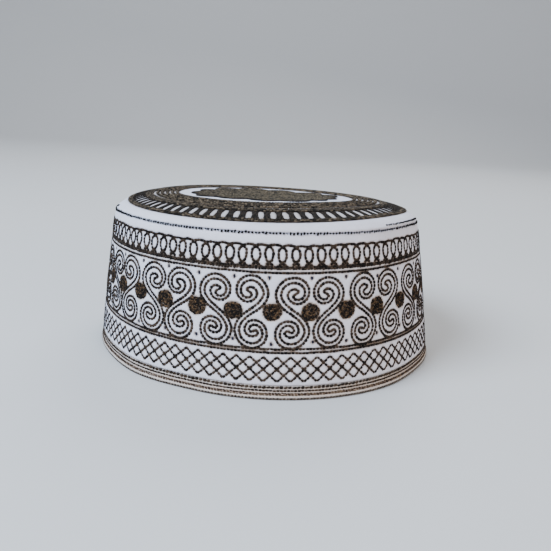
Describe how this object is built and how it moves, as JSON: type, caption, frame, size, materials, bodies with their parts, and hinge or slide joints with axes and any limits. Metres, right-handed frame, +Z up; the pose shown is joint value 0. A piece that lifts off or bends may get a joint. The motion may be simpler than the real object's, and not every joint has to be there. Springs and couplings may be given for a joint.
{
  "type": "embroidered cap",
  "caption": "Round brimless cloth cap: a tapered side band, a softly domed crown and a folded hem binding, worked all over with dark hand embroidery.",
  "frame": {"origin": "middle of the cap's footprint, at the level of the foot of the hem", "axes": "+Z up towards the crown, -Y towards the side that faces the viewer, +X towards the viewer's right"},
  "size_m": [0.186, 0.186, 0.0852],
  "materials": {
    "band_cloth": "plain white cotton, dark stitched",
    "crown_cloth": "plain white cotton, dark stitched",
    "binding_cloth": "cloth edge closely overcast in dark and brown thread"
  },
  "bodies": {
    "root": {"side_band": "band_cloth", "crown": "crown_cloth", "hem_binding": "binding_cloth"}
  },
  "joints": []
}
